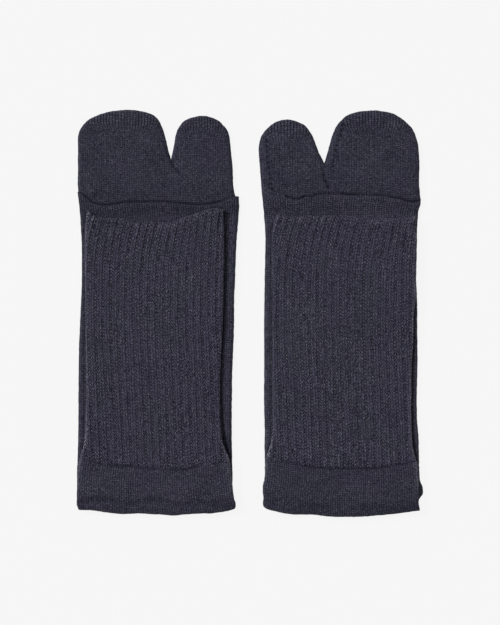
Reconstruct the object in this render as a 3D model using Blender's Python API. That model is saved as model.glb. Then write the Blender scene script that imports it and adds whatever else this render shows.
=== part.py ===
"""Pair of split-toe (tabi) socks, each folded flat: sole down, leg folded forward over the instep.

Every sock has five knitted pieces: a four-toe pocket and a big-toe pocket, the tube of the foot,
the heel pocket that wraps the fold, and the ribbed leg lying on the foot, its cuff edge open.
A piece is a loft of flattened-tube sections set across the sock. Sizes below are in millimetres:
"across" is measured to the right of a sock's centre line, "along" forward from the heel fold.
The finished model is in metres, +Z up, +Y towards the toes, standing on the ground at the origin.
"""

import bpy
import bmesh
from collections import namedtuple
from math import cos, radians, sin, sqrt

MM = 0.001

# ---- driving dimensions, mm ----
PAIR_LENGTH = 250.0      # heel fold to the longest toe
SOCK_CENTRE = {"left": -56.5, "right": 56.5}   # from the middle of the pair
SEAM_GAP = 0.3           # clearance between two pieces that are linked or lie on each other
TOE_THICK = 4.4          # two walls of pile knit, edge of a toe pocket
TOE_CROWN = 0.7          # how much the middle of a toe pocket stands above its edge
FOOT_THICK = 4.1         # two walls of pile knit under the leg
LEG_THICK = 3.5          # two walls of rib
FOLD_THICK = FOOT_THICK + SEAM_GAP + LEG_THICK
EDGE_REACH = 2.2         # how far in the round of a free edge reaches
LINKED_REACH = 0.3       # the same where a pocket meets its neighbour
SLIT_HEIGHT = 0.5        # opening of the flattened cuff
SLIT_DEPTH = 16.0        # how far in the cuff's two walls are modelled apart
SLIT_INSET = 1.8         # wall left at each side of the slit

EDGE_STEPS = 5           # facets round a plain edge
LAYER_STEPS = 4          # facets round each layer of the heel's edge
TOP_STATIONS = (-0.5, 0.0, 0.5)           # points on a section's face, -1 left edge, 1 right edge
FOLD_ANGLES = (8.0, 34.0, 61.0, 90.0)     # sections round the heel fold
TIP_ANGLES = (8.0, 24.0, 41.0, 58.0, 74.0, 90.0)    # sections round a toe tip

CLOTH_COLOUR = {
    "four_toes": (0.036, 0.035, 0.048, 1.0),
    "big_toe": (0.036, 0.035, 0.048, 1.0),
    "foot": (0.034, 0.033, 0.046, 1.0),
    "heel": (0.036, 0.035, 0.048, 1.0),
    "leg": (0.042, 0.041, 0.054, 1.0),
}
CLOTH_ROUGHNESS = 0.95

# Outline of a piece at one distance along the sock.
Width = namedtuple("Width", "along left right")
# Quarter ellipse of a toe pocket's round end: how far it reaches across and along.
Curve = namedtuple("Curve", "reach depth")
# Round end of a toe pocket: two quarter ellipses meeting at the tip.
Lobe = namedtuple("Lobe", "tip_across tip_along left right")
# How far the two ends of a curved edge lie ahead of its middle.
Bow = namedtuple("Bow", "left right")

FOOT_WIDTHS = {
    "left": (
        Width(30.5, -49.4, 45.8),
        Width(41.0, -48.5, 45.7),
        Width(96.0, -48.2, 45.9),
        Width(121.0, -47.3, 46.5),
        Width(139.0, -46.4, 47.0),
        Width(164.0, -46.1, 48.1),
        Width(180.0, -46.2, 48.8),
        Width(193.2, -47.8, 49.2),
    ),
    "right": (
        Width(30.5, -47.4, 47.6),
        Width(45.0, -46.8, 47.3),
        Width(64.0, -47.3, 46.4),
        Width(115.0, -47.3, 46.5),
        Width(157.5, -46.8, 45.7),
        Width(184.0, -46.8, 46.4),
        Width(189.0, -47.3, 46.7),
        Width(196.8, -47.9, 48.5),
    ),
}

LEG_WIDTHS = {
    "left": (
        Width(30.5, -49.4, 45.0),
        Width(33.0, -48.8, 44.1),
        Width(41.0, -46.3, 41.6),
        Width(50.0, -44.3, 39.2),
        Width(77.0, -43.1, 38.8),
        Width(115.0, -43.7, 40.4),
        Width(133.0, -43.9, 40.8),
        Width(171.0, -44.8, 40.8),
        Width(180.9, -43.7, 40.5),
    ),
    "right": (
        Width(30.5, -47.4, 46.6),
        Width(38.0, -46.0, 45.5),
        Width(45.5, -43.3, 43.9),
        Width(60.5, -42.1, 42.7),
        Width(90.0, -42.4, 42.7),
        Width(108.0, -42.4, 43.9),
        Width(133.0, -42.8, 44.8),
        Width(172.0, -43.3, 45.7),
        Width(184.2, -41.0, 45.9),
    ),
}
CUFF_BOW = {"left": Bow(7.4, 8.0), "right": Bow(2.2, -0.6)}

# The last row is the fold itself, which FOLD_ANGLES round off.
HEEL_WIDTHS = {
    "left": (
        Width(30.5, -49.5, 45.8),
        Width(22.0, -49.2, 45.9),
        Width(13.5, -49.6, 47.6),
        Width(7.5, -49.3, 48.5),
        Width(0.8, -48.0, 46.8),
    ),
    "right": (
        Width(30.5, -47.4, 47.6),
        Width(22.0, -47.7, 47.9),
        Width(15.8, -48.3, 49.6),
        Width(9.0, -48.3, 48.2),
        Width(0.0, -46.6, 47.6),
    ),
}
FOLD_BOW = {"left": Bow(2.8, 3.6), "right": Bow(4.8, 3.8)}

FOUR_TOES = {
    "left": Lobe(-18.1, 250.0, Curve(30.7, 17.4), Curve(23.3, 19.6)),
    "right": Lobe(20.6, 248.6, Curve(28.4, 25.2), Curve(26.8, 23.4)),
}
BIG_TOE = {
    "left": Lobe(26.1, 246.3, Curve(16.0, 18.4), Curve(18.4, 18.4)),
    "right": Lobe(-33.2, 243.0, Curve(16.8, 17.9), Curve(17.8, 22.1)),
}
# Outer edge of each toe pocket, (along, across) from the linking seam to where it runs straight
# to the shoulder of the round end.
FOUR_TOES_EDGE = {
    "left": ((193.2, -47.8), (201.0, -48.6)),
    "right": ((196.8, 48.5), (205.0, 47.0), (215.3, 47.6)),
}
BIG_TOE_EDGE = {
    "left": ((193.2, 49.2), (201.0, 46.5), (209.0, 46.1)),
    "right": ((196.8, -47.9), (202.4, -48.6), (209.8, -49.0)),
}
# The line that parts the two toe pockets, from the linking seam up to the crotch.
PARTING = {
    "left": ((193.2, 16.3), (210.4, 13.1), (219.0, 8.0)),
    "right": ((196.8, -7.7), (207.0, -9.8), (216.3, -11.0)),
}


def clear_scene():
    """Remove whatever the open file holds."""
    for old in list(bpy.data.objects):
        bpy.data.objects.remove(old, do_unlink=True)


def cloth(name, piece):
    """Matte knitted cloth in one piece's colour."""
    material = bpy.data.materials.new(name)
    material.use_nodes = True
    shader = material.node_tree.nodes["Principled BSDF"]
    shader.inputs["Base Color"].default_value = CLOTH_COLOUR[piece]
    shader.inputs["Roughness"].default_value = CLOTH_ROUGHNESS
    shader.inputs["Metallic"].default_value = 0.0
    material.diffuse_color = CLOTH_COLOUR[piece]
    return material


def mix(a, b, share):
    """The value that lies share of the way from a to b."""
    return a + (b - a) * share


def plain_edge(steps):
    """Half-round edge from bottom to top, as (share of reach, share of height)."""
    turns = [mix(-90.0, 90.0, k / steps) for k in range(steps + 1)]
    return [(1.0 - cos(radians(a)), 0.5 + 0.5 * sin(radians(a))) for a in turns]


def layered_edge(layering):
    """Edge of two stacked layers with a groove between; layering 0 gives one plain round."""
    single = plain_edge(2 * LAYER_STEPS)
    layer = plain_edge(LAYER_STEPS)
    split = FOOT_THICK / FOLD_THICK
    lower = [(reach, height * split) for reach, height in layer]
    upper = [(reach, mix(split, 1.0, height)) for reach, height in layer[1:]]
    return [
        (mix(one[0], two[0], layering), mix(one[1], two[1], layering))
        for one, two in zip(single, lower + upper)
    ]


def bowed(across, width, bow):
    """How far ahead of its middle a bowed edge is, at one place across it."""
    middle = 0.5 * (width.left + width.right)
    offset = (across - middle) / (0.5 * (width.right - width.left))
    return offset * offset * (bow.left if offset < 0 else bow.right)


def section(width, low, high, edge, reach, bow=Bow(0, 0), crown=0.0):
    """Closed ring of points round a flattened tube, clockwise as seen from the toes.

    reach is how far in the left and the right edge's round goes.
    """
    limit = 0.5 * (width.right - width.left)
    reach_left = min(reach[0], limit)
    reach_right = min(reach[1], limit)
    left_side = [
        (width.left + inward * reach_left, mix(low, high, up)) for inward, up in edge
    ]
    right_side = [
        (width.right - inward * reach_right, mix(low, high, up)) for inward, up in reversed(edge)
    ]
    first = width.left + reach_left
    last = width.right - reach_right
    stations = [mix(first, last, 0.5 + 0.5 * s) for s in TOP_STATIONS]
    domes = [crown * (1.0 - s * s) for s in TOP_STATIONS]
    top = [(x, high + dome) for x, dome in zip(stations, domes)]
    bottom = [(x, low) for x in reversed(stations)]
    ring = left_side + top + right_side + bottom
    return [(x, width.along + bowed(x, width, bow), z) for x, z in ring]


def placed(point, side):
    """A point of one sock, in metres in the pair's frame."""
    across, along, up = point
    return ((across + SOCK_CENTRE[side]) * MM, (along - 0.5 * PAIR_LENGTH) * MM, up * MM)


def loft(name, side, rings, piece):
    """Skin a chain of rings, close both ends, and place the solid in the pair."""
    mesh = bpy.data.meshes.new(name)
    bm = bmesh.new()
    loops = [[bm.verts.new(placed(point, side)) for point in ring] for ring in rings]
    for behind, ahead in zip(loops, loops[1:]):
        for k, corner in enumerate(behind):
            after = (k + 1) % len(behind)
            bm.faces.new((corner, behind[after], ahead[after], ahead[k]))
    bm.faces.new(loops[0])
    bm.faces.new(loops[-1])
    bmesh.ops.recalc_face_normals(bm, faces=bm.faces)
    bmesh.ops.triangulate(bm, faces=bm.faces)
    bm.to_mesh(mesh)
    bm.free()
    mesh.shade_smooth()
    mesh.set_sharp_from_angle(angle=radians(50.0))
    solid = bpy.data.objects.new(name, mesh)
    solid.data.materials.append(cloth(name, piece))
    bpy.context.scene.collection.objects.link(solid)


def edge_at(points, along):
    """Across position of an edge given by (along, across) points, straight between them."""
    for start, end in zip(points, points[1:]):
        if along <= end[0]:
            return mix(start[1], end[1], (along - start[0]) / (end[0] - start[0]))
    return points[-1][1]


def round_share(distance, length):
    """Height share of a quarter ellipse at a distance in from its end."""
    rise = 1.0 - min(distance / length, 1.0)
    return sqrt(1.0 - rise * rise)


def pocket_side(points, lobe, curve, sign, along):
    """Across position of one side of a toe pocket: its straight runs, then its quarter ellipse."""
    behind_tip = lobe.tip_along - along
    if behind_tip < curve.depth:
        return lobe.tip_across + sign * curve.reach * round_share(behind_tip, curve.depth)
    shoulder = (lobe.tip_along - curve.depth, lobe.tip_across + sign * curve.reach)
    return edge_at([*points, shoulder], along)


def pocket_rows(lobe, outer, parting):
    """Distances along the sock at which a toe pocket has a section, from the seam to its tip."""
    crotch = parting[-1][0]
    depth = max(lobe.left.depth, lobe.right.depth)
    tips = [lobe.tip_along - depth * (1.0 - cos(radians(a))) for a in TIP_ANGLES]
    rows = [parting[0][0] + 0.5 * SEAM_GAP]
    rows += [along for along, _ in outer[1:] if along < crotch]
    rows += [along for along, _ in parting[1:]]
    rows += [along for along in tips if along > crotch + EDGE_REACH]
    return sorted(rows)


def build_toe_pocket(side, piece, lobe, outer, parted_on_right):
    """One toe pocket: outer edge, round end, and the parting line it shares with its neighbour."""
    parting = PARTING[side]
    clearance = -0.5 * SEAM_GAP if parted_on_right else 0.5 * SEAM_GAP
    inner = [(along, across + clearance) for along, across in parting]
    left_points, right_points = (outer, inner) if parted_on_right else (inner, outer)
    rings = []
    for along in pocket_rows(lobe, outer, parting):
        left = pocket_side(left_points, lobe, lobe.left, -1, along)
        right = pocket_side(right_points, lobe, lobe.right, 1, along)
        full = round_share(lobe.tip_along - along, EDGE_REACH)
        low = 0.5 * TOE_THICK * (1.0 - full)
        linked = LINKED_REACH if along < parting[-1][0] - EDGE_REACH else EDGE_REACH
        reach = (EDGE_REACH, linked) if parted_on_right else (linked, EDGE_REACH)
        width = Width(along, left, right)
        edge = plain_edge(EDGE_STEPS)
        rings.append(section(width, low, TOE_THICK - low, edge, reach, crown=TOE_CROWN * full))
    loft(f"{side}_{piece}", side, rings, piece)


def build_foot(side):
    """Tube of the foot, flattened under the leg, from the heel pocket to the toes' linking seam."""
    widths = list(FOOT_WIDTHS[side])
    widths[0] = widths[0]._replace(along=widths[0].along + 0.5 * SEAM_GAP)
    widths[-1] = widths[-1]._replace(along=widths[-1].along - 0.5 * SEAM_GAP)
    edge = plain_edge(EDGE_STEPS)
    rings = [section(w, 0.0, FOOT_THICK, edge, (EDGE_REACH, EDGE_REACH)) for w in widths]
    loft(f"{side}_foot", side, rings, "foot")


def build_leg(side):
    """Ribbed leg lying on the foot; a slit at the cuff keeps its two walls apart."""
    low = FOOT_THICK + SEAM_GAP
    high = low + LEG_THICK
    middle = 0.5 * (low + high)
    edge = plain_edge(EDGE_STEPS)
    reach = (0.5 * LEG_THICK, 0.5 * LEG_THICK)
    widths = list(LEG_WIDTHS[side])
    widths[0] = widths[0]._replace(along=widths[0].along + 0.5 * SEAM_GAP)
    cuff = widths[-1]
    bow = CUFF_BOW[side]
    rings = [section(w, low, high, edge, reach) for w in widths[:-1]]
    rings.append(section(cuff, low, high, edge, reach, bow=bow))
    mouth = cuff._replace(left=cuff.left + SLIT_INSET, right=cuff.right - SLIT_INSET)
    slit_reach = (0.5 * SLIT_HEIGHT, 0.5 * SLIT_HEIGHT)
    slit_low = middle - 0.5 * SLIT_HEIGHT
    slit_high = middle + 0.5 * SLIT_HEIGHT
    inside = mouth._replace(along=mouth.along - SLIT_DEPTH)
    rings.append(section(mouth, slit_low, slit_high, edge, slit_reach, bow=bow))
    rings.append(section(inside, slit_low, slit_high, edge, slit_reach))
    loft(f"{side}_leg", side, rings, "leg")


def build_heel(side):
    """Heel pocket wrapped round the fold; its side edges show the foot's and the leg's layers."""
    *widths, fold = HEEL_WIDTHS[side]
    bow = FOLD_BOW[side]
    widths[0] = widths[0]._replace(along=widths[0].along - 0.5 * SEAM_GAP)
    reach = (0.5 * FOOT_THICK, 0.5 * FOOT_THICK)
    back = widths[0].along
    rings = []
    for width in widths:
        share = 1.0 - (width.along - fold.along) / (back - fold.along)
        bent = Bow(bow.left * share * share, bow.right * share * share)
        rings.append(section(width, 0.0, FOLD_THICK, layered_edge(1.0), reach, bow=bent))
    radius = 0.5 * FOLD_THICK
    start = widths[-1]
    for angle in reversed(FOLD_ANGLES):
        rise = sin(radians(angle))
        rounded = Width(
            fold.along + radius * (1.0 - cos(radians(angle))),
            mix(fold.left, start.left, 0.5 * rise),
            mix(fold.right, start.right, 0.5 * rise),
        )
        low = radius * (1.0 - rise)
        edge = layered_edge(0.6 * rise)
        rings.append(section(rounded, low, FOLD_THICK - low, edge, reach, bow=bow))
    loft(f"{side}_heel", side, rings, "heel")


def build_sock(side):
    """The five pieces of one sock."""
    left_sock = side == "left"
    build_toe_pocket(side, "four_toes", FOUR_TOES[side], FOUR_TOES_EDGE[side], left_sock)
    build_toe_pocket(side, "big_toe", BIG_TOE[side], BIG_TOE_EDGE[side], not left_sock)
    build_foot(side)
    build_leg(side)
    build_heel(side)


clear_scene()
for sock in ("left", "right"):
    build_sock(sock)
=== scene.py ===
"""Looks of the pair of split-toe (tabi) socks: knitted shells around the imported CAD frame.

Shapes are worked out in millimetres in each sock's own frame, as in the part's source: "across" is
measured to the right of a sock's centre line, "along" forward from the heel fold, "up" from the ground.
"""

import math
from functools import partialmethod

import bpy
import numpy as np
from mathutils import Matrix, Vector
from mathutils.geometry import delaunay_2d_cdt


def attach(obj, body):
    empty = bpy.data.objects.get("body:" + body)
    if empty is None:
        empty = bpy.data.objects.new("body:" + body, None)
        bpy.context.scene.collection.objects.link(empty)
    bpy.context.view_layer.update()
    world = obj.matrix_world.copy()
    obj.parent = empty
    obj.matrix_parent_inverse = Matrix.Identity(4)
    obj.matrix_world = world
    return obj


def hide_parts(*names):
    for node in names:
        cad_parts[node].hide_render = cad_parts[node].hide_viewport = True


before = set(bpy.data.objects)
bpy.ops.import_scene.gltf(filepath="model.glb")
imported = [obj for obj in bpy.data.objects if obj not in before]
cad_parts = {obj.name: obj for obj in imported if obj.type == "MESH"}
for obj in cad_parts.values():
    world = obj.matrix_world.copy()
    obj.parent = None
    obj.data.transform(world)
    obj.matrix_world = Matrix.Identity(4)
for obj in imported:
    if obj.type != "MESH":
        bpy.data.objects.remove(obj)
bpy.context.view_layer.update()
scene = bpy.context.scene

MM = 0.001
SOCK_CENTRE = {"left": -56.5, "right": 56.5}
HALF_LENGTH = 125.0

# ---- knit gauge, mm ----
WALE = 1.43              # width of a stitch column of the plain knit
COURSE = 1.15            # height of a stitch row
TOE_WALE = {"left": 1.43, "right": 1.58}
RIB_WALES = 3            # two raised columns and one sunken
RIB_WALE = {"left": 1.555, "right": 1.595}
RIB_TILT = {"left": -0.13, "right": 0.09}   # slope of the rib's stitch rows
RIB_LEAN = {"left": (2.3, 3.8, 3.2), "right": (4.6, 3.9, 2.6)}   # cuff, its left part, heel; mm
RIB_COURSE = 2.02        # the rib's stitches are drawn out lengthwise
HEEL_WALE = 1.38
HEEL_SEAM = 30.5         # where foot and leg pass into the heel pocket
CUFF_ROW = 184.0         # the leg's rows end here before the last ones are bent to CUFF_LINE
SEAM_ROW = 195.0         # the foot's, before they are bent to TOE_SEAM

# ---- thickness, mm ----
TOE_THICK = 4.4
FOOT_TOP = 4.1
LEG_BASE = 4.4
LEG_TOP = 7.9
FOLD_RADIUS = 3.9
OUTSET = 0.1             # the edges below were read at mid tone; the yarn reaches this much further
FUZZ = 1.7               # length of the small unevenness along an outline
ROUGH = 0.12             # and its height
LEG_ROUGH = 0.1
LINE_DARK = 0.42         # painted shade in the groove between rib and heel pocket: how dark it is

SEEDS = {"left": 100, "right": 200}

# (along, left, right) of the foot tube's edges
FOOT_EDGES = {
    "left": (
        (30.5, -49.4, 45.9), (43, -49, 45.6), (55, -48.8, 45.4), (72, -48.7, 45.6), (88, -48.6, 45.8),
        (102, -48.4, 46.3), (117, -47.8, 46.9), (132, -47.1, 47), (146, -46.6, 47.6), (161, -46.6, 48),
        (176, -47.1, 49), (184, -47.8, 49.7), (188.5, -48.3, 50.1), (192, -48.9, 50), (196.5, -49.4, 49.6),
        (200.5, -49.5, 49),
    ),
    "right": (
        (30.5, -46.9, 47.8), (43, -47.2, 47.6), (50.5, -47.1, 47.3), (58, -47.2, 46.6), (72, -47.5, 46.4),
        (95, -47.4, 46.8), (117, -47.5, 46.7), (132, -47.3, 46.6), (146, -47.1, 46), (161, -46.8, 46.3),
        (168.4, -46.6, 46.5), (176, -46.8, 46.6), (184, -47.4, 47), (189, -47.9, 47.4), (193, -48.2, 48.7),
        (196.7, -48.6, 48.8), (200, -48.9, 48.4),
    ),
}
# (along, left, right) of the ribbed leg's edges
LEG_EDGES = {
    "left": (
        (30.5, -47.6, 44.7), (34, -46.7, 43.9), (37.8, -45.4, 42.2), (41, -45, 41.1), (46, -44.7, 39.8),
        (50, -44.5, 39.2), (56, -44.2, 38.6), (77.2, -43.8, 38.3), (95, -43.9, 38.8), (114.6, -44, 39.8),
        (133, -44.2, 40.4), (160, -44.7, 41), (172, -44.5, 40.8), (179, -44, 40.6), (185, -42.9, 40.1),
        (188.5, -41, 39.5),
    ),
    "right": (
        (30.5, -46.4, 46.2), (35.5, -45, 45.1), (40.3, -43.6, 44), (43, -43, 43.6), (49.3, -42.4, 43.1),
        (60.6, -42.1, 42.7), (90, -42.2, 43.1), (107.9, -42.1, 44), (124.5, -42.1, 44.4),
        (133, -42.1, 45.5), (152, -42.3, 45.7), (166, -42.4, 45.8), (172, -42.3, 45.9),
        (176.5, -41.9, 45.9), (181, -40.6, 46), (185.5, -38.8, 46.1), (188, -37.5, 46.1),
    ),
}
# (along, lower layer left, upper layer left, upper layer right, lower layer right) of the heel
HEEL_EDGES = {
    "left": (
        (4, -47.2, -48.6, 46.8, 46.2), (6.2, -48.8, -49.7, 48, 47.4), (8.1, -49.2, -49.9, 48.1, 47.6),
        (11.7, -49.1, -49.7, 47, 46.8), (15.4, -48.9, -49.5, 46.4, 46.2), (19.1, -49, -49.4, 46, 45.9),
        (24.6, -49.6, -49.3, 45.3, 46), (30.5, -49.6, -48.7, 44.8, 45.9), (36.7, -49.2, -47.6, 44.5, 45.8),
    ),
    "right": (
        (4, -44.6, -45.6, 48.1, 47.2), (6.2, -47.2, -47.8, 48, 47.2), (8.1, -47.8, -48.3, 47.8, 47.2),
        (9.9, -47.9, -48.4, 47.7, 47.6), (11.7, -47.8, -48.2, 47.6, 48.6), (13.6, -47.8, -48.2, 47.6, 50),
        (15.4, -47.8, -48.3, 47.6, 50.2), (17.3, -47.8, -48.3, 47.6, 50.1),
        (19.1, -47.7, -48.2, 47.6, 49.5), (21, -47.3, -47.9, 47.5, 48.7), (22.8, -46.8, -47.3, 47.4, 48.3),
        (30.5, -47, -46.8, 46.8, 47.8), (36.2, -46.9, -46.4, 46, 47.7),
    ),
}
# (across, along) of the lines that run across a sock
FOLD_LINE = {
    "left": (
        (-49.5, 5.2), (-48.2, 4.1), (-41, 3.8), (-34, 2.9), (-28, 2), (-20, 1.5), (-12, 1.9), (-4, 1.5),
        (5, 1), (10.4, 0.6), (17, 1.3), (25, 1.8), (32.5, 1.9), (38, 2.6), (43.6, 3.5), (48, 4.9),
    ),
    "right": (
        (-48.2, 6.4), (-46.5, 5), (-44.8, 4.3), (-39.5, 3), (-33.8, 1.8), (-29, 1.2), (-19, 1.2),
        (-13, 0.6), (-8, 0), (0, -0.2), (8, -0.2), (16, 0.1), (24, 0.8), (32.6, 1.6), (40, 2.6),
        (47.9, 3.6),
    ),
}
HEEL_LINE = {
    "left": (
        (-50, 37.5), (-43.5, 36), (-37, 32.8), (-28.7, 31.1), (-14, 30.7), (-2.6, 29.1), (16.3, 28.7),
        (26.1, 31.1), (36, 32.5), (46, 33.2),
    ),
    "right": (
        (-48, 36.2), (-37.3, 34), (-29.2, 32.8), (-21.8, 31.1), (-7.1, 29.5), (21.6, 29.5), (30.6, 31.1),
        (37.9, 31.9), (42.1, 32.8), (47, 33.6),
    ),
}
CUFF_LINE = {
    "left": (
        (-44, 188.4), (-41.5, 187.2), (-37.3, 183.8), (-30, 183.2), (-20.6, 183.2), (-10.7, 181),
        (8.9, 180.5), (14.8, 183.2), (21.7, 185.4), (26.6, 187.3), (35.3, 189.3), (41, 188.6),
    ),
    "right": (
        (-43, 186.8), (-40.5, 186.2), (-33.6, 184.4), (-12, 184.9), (2.8, 184.4), (16.5, 183.4),
        (27.3, 182.9), (37.1, 183.4), (46, 184.4),
    ),
}
TOE_SEAM = {
    "left": (
        (-49, 199.6), (-46.6, 198.8), (-42.1, 195.1), (-37.8, 192.3), (-30.4, 191.4), (-24.3, 192.3),
        (-17.5, 193.2), (1.5, 193.5), (26.1, 191.7), (31, 192), (39, 193.5), (43.9, 195.9), (49.6, 196.8),
    ),
    "right": (
        (-48.6, 195.4), (-42.1, 195.7), (-33.8, 196.6), (-31.6, 196.1), (-27.5, 194.8), (-23.8, 196.1),
        (-21.5, 196.9), (-17.5, 196.6), (-15, 197.9), (-10.1, 198.4), (7.7, 197.8), (23, 197.5),
        (30.1, 196.6), (35.3, 195.7), (39.8, 194.2), (44.1, 193.4), (48.9, 194.4),
    ),
}
# (across, along) round the toe pockets, from the seam's left end over both tips to its right end
TOE_OUTLINE = {
    "left": (
        (-48.8, 199.6), (-49.1, 204), (-49, 214), (-49, 228), (-48.9, 233.5), (-48.5, 236), (-47.4, 238.5),
        (-45.7, 240.9), (-43.7, 242.9), (-41.2, 244.7), (-36.3, 247), (-31.4, 248.5), (-26.5, 249.4),
        (-19.1, 250), (-14.2, 249.8), (-9.2, 249), (-4.3, 247.6), (-1.9, 246.3), (0.6, 243.6), (2, 240.9),
        (3.9, 236), (5.7, 228.6), (6.9, 223.7), (8.2, 219.6), (9.1, 223.7), (10.2, 228.6), (10.9, 233.5),
        (12.6, 238.5), (14.2, 240.9), (16.7, 243.4), (20.2, 245), (25.2, 246.2), (28.8, 246.3),
        (32.5, 245.6), (37.4, 243.4), (40, 240.9), (42, 238.5), (43.4, 236), (44.4, 231.1), (44.8, 226.2),
        (45.7, 218.8), (46.2, 210), (46.5, 204), (47.1, 199.3), (47.7, 197),
    ),
    "right": (
        (-48.5, 195.4), (-48.8, 198), (-49.3, 204.1), (-49.6, 209), (-50, 214), (-50.4, 218.8),
        (-50.7, 223.7), (-50.8, 226.2), (-50.5, 228.6), (-50.1, 231.1), (-49.3, 233.5), (-47.8, 236),
        (-45.7, 238.5), (-42.6, 241.1), (-39.9, 242.7), (-35.5, 243.9), (-30.1, 243.7), (-25.2, 241.9),
        (-22.7, 240.6), (-20.3, 238), (-17.8, 233.9), (-15.7, 228.6), (-13.9, 223.7), (-11.3, 218.8),
        (-10.7, 217.2), (-9.9, 218.8), (-8.5, 223.7), (-7.1, 228.6), (-5.7, 233.5), (-3.8, 238.5),
        (-2.3, 240.9), (-0.2, 243.4), (2.2, 245.7), (5, 247.3), (9.2, 248.6), (14.1, 249.3), (20.5, 249.7),
        (26.4, 249), (31.4, 247.9), (35.4, 245.8), (38.6, 243.6), (41.5, 240.9), (43.6, 238.4),
        (45.9, 233.5), (47.1, 228.6), (47.6, 223.7), (48, 217), (47.8, 210), (47.8, 204), (48.3, 199),
        (48.8, 194.6),
    ),
}
CROTCH = {"left": 23, "right": 24}   # the crotch's place in it


# ---- creases, each (path of (across, along), height mm, half width mm, how much lighter or darker): the last is painted shade in a hollow and painted highlight on a ridge
LEG_FOLDS = {
    "left": (
        (((-39.5, 188), (-42, 186.5), (-43.6, 183), (-44.2, 177), (-44.2, 168)), 0.5, 0.8, 1.35),
        (((-43.4, 172), (-43.2, 156), (-42.6, 140)), 0.45, 1.7, 1.05),
        (((-37.2, 185.8), (-39.2, 183), (-41, 176)), 0.4, 0.8, 1.25),
        (((-39.6, 185.6), (-41.8, 182), (-42.6, 176)), -0.6, 0.7, 0.65),
        (((-35.6, 183.6), (-37.6, 180), (-38.6, 175)), -0.5, 1, 0.75),
        (((-36.5, 181), (-30, 180.2), (-24, 180)), -0.6, 1.2, 0.8),
        (((38.7, 186.8), (36.8, 176.7)), -0.7, 0.6, 0.7),
        (((22, 143), (34, 128)), 0.5, 6, 1.06),
        (((10, 94), (34, 78)), -0.5, 6.5, 0.94),
        (((39.7, 39.6), (39.2, 31)), -0.5, 3, 0.9),
    ),
    "right": (
        (((-37.8, 185.9), (-39.6, 182), (-41, 177.7), (-41.4, 172)), 0.6, 1.1, 1.15),
        (((-43.3, 180), (-43.3, 172)), -0.5, 0.8, 0.8),
        (((-41.2, 174), (-41.3, 166), (-41.1, 108), (-41.2, 80), (-41.2, 60)), -0.1, 0.9, 0.66),
        (((31.7, 174.9), (31.3, 173.2)), -0.5, 0.6, 0.7),
        (((41.5, 179.5), (42.5, 174)), 0.3, 1.6, 1.12),
        (((-30, 132), (-16, 118)), 0.45, 6, 1.05),
        (((8, 66), (30, 58)), -0.45, 6, 0.95),
    ),
}
FOOT_FOLDS = {
    "left": (
        (((-2.5, 189.6), (-2.4, 189.5)), -0.5, 1.2, 0.8),
        (((9.6, 188), (22, 188)), -0.4, 1.8, 0.85),
        (((44, 190), (48, 194.5)), 0.3, 2.5, 1.14),
    ),
    "right": (
        (((-18, 188), (-2, 188)), -0.6, 2.6, 0.8),
        (((-41, 188.5), (-27, 188)), -0.3, 2, 0.88),
        (((39.5, 190.5), (42.5, 189)), -0.3, 1.3, 0.85),
        (((-42.4, 186.4), (-38.4, 186.8)), 0.3, 0.6, 1.3),
    ),
}
TOE_FOLDS = {
    "left": (
        (((8.2, 219.2), (10.2, 215), (13.6, 211)), -1.3, 0.9, 0.45),
        (((-39, 197.6), (-33.5, 197.2)), -0.7, 1.7, 0.75),
        (((18, 236), (19, 222)), -0.6, 4.5, 0.88),
        (((4.3, 205.5), (4.6, 201.5)), -0.4, 1.6, 0.82),
        (((-42, 228), (-38, 222)), -0.3, 5, 0.93),
    ),
    "right": (
        (((1.2, 238.5), (6.8, 235.6), (19, 235.4), (33, 232.3)), -0.5, 1.3, 0.8),
        (((2.5, 240.5), (12, 239.5), (24, 238.5)), -0.6, 3.2, 0.85),
        (((-10.7, 216.5), (-10.6, 209.9), (-8, 202.4)), -0.5, 1, 0.85),
        (((-2, 212), (1, 206)), -0.3, 3, 0.92),
        (((-38, 218), (-36, 210)), -0.4, 5, 0.92),
        (((-37, 232), (-30, 235)), 0.4, 4.5, 1.08),
        (((-41.2, 197.4), (-40.9, 197.2)), -0.5, 0.8, 0.7),
        (((-37.5, 196.6), (-37.2, 196.5)), -0.4, 0.7, 0.8),
        (((45.4, 204.5), (45.4, 204.3)), 0.4, 1.2, 1.2),
    ),
}
HEEL_FOLDS = {
    "left": (
        (
            ((-47.3, 8.7), (-39.4, 9.9), (-27.7, 9.9), (-17.8, 8.4), (-9.2, 8.7), (-0.6, 9.9), (6.1, 8.7),
             (14.1, 7.4), (26.4, 8.1), (35.6, 7.4), (46, 6.8)), -1, 2.2, 0.8,
        ),
        (((-39.4, 10.2), (-28, 9.8)), -0.5, 2, 0.88),
        (((-3, 10.4), (2, 10)), -0.5, 2, 0.88),
        (((38, 10), (46, 7)), -0.5, 3, 0.85),
        (((39.7, 39.6), (39, 32.4), (37.6, 26), (34, 19.6), (31.1, 14.5), (21.8, 10.9)), -0.6, 3, 0.9),
    ),
    "right": (
        (((-17.8, 6.5), (-6.1, 5.5)), -0.6, 2.4, 0.85),
        (((13.8, 5), (26, 4.6)), -0.7, 2.4, 0.8),
        (((29.5, 4.9), (47, 4.2)), -0.4, 1.8, 0.85),
        (((-40, 9), (0, 7), (45, 6)), -0.3, 3, 0.93),
    ),
}
# lines of small holes where the right sock's toe pockets are shaped: (path, spacing); each hole is a dimple
# darkened with painted shade
GORES = {
    "left": (),
    "right": (
        (
            ((0.9, 240.4), (0.2, 235.4), (-1.6, 231.8), (-2.6, 227.5), (-3.4, 223.9), (-4.4, 219.2),
             (-5.1, 215.3)), 3.1,
        ),
        (
            ((-45.6, 230.7), (-45.5, 225), (-45.3, 219.6), (-44.6, 215.3), (-43.8, 210.3), (-43.5, 205.6),
             (-42.4, 201.3)), 3.3,
        ),
        (((-10.9, 209.9), (-8, 202.4)), 4.2),
    ),
}
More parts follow.
